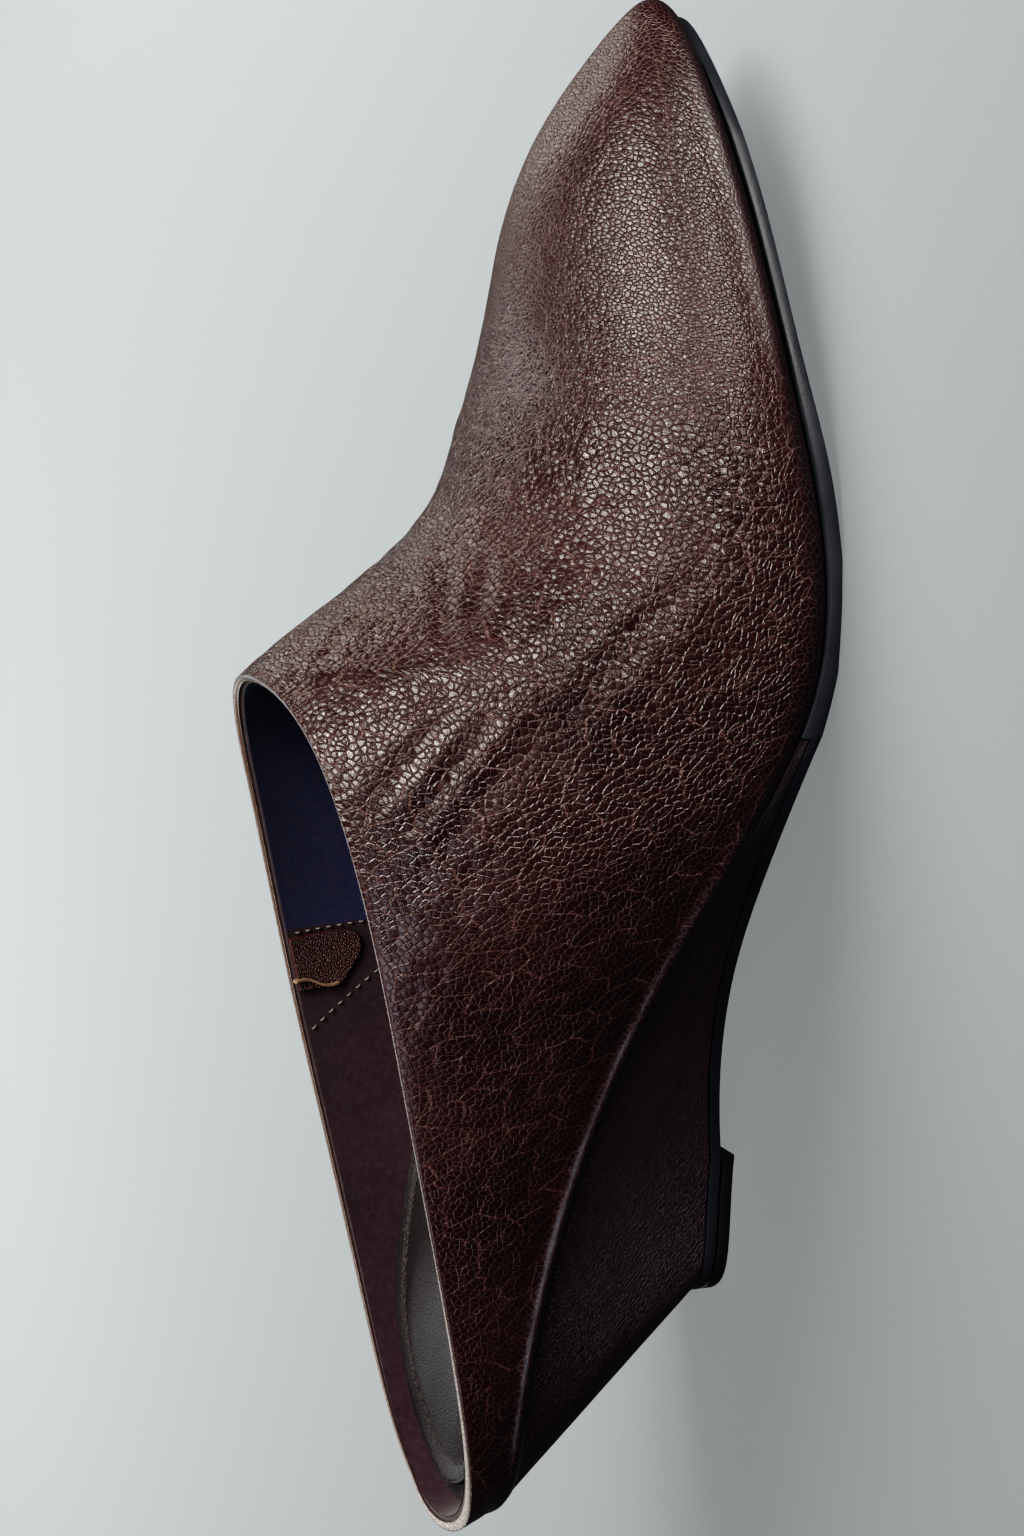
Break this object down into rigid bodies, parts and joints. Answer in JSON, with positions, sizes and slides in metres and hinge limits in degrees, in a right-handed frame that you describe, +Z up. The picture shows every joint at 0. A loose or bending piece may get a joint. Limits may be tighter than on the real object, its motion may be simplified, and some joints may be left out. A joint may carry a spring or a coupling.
{
  "type": "wedge mule",
  "caption": "Pointed backless slip-on shoe: hollow leather upper open at the collar, padded insole, leather-covered wedge with a raked back, thin outsole and a lift under the heel.",
  "frame": {"origin": "centre of the bounding box in plan, on the floor", "axes": "+X towards the toe, +Y towards the inner (medial) side of the foot, +Z up"},
  "size_m": [0.2532, 0.078, 0.0827],
  "materials": {
    "upper": "tumbled, semi-gloss",
    "insole": "matte",
    "wedge": "fine-grained, satin",
    "outsole": "satin",
    "top_piece": "matte"
  },
  "bodies": {
    "root": {"upper": "upper", "insole": "insole", "wedge": "wedge", "outsole": "outsole", "top_piece": "top_piece"}
  },
  "joints": []
}
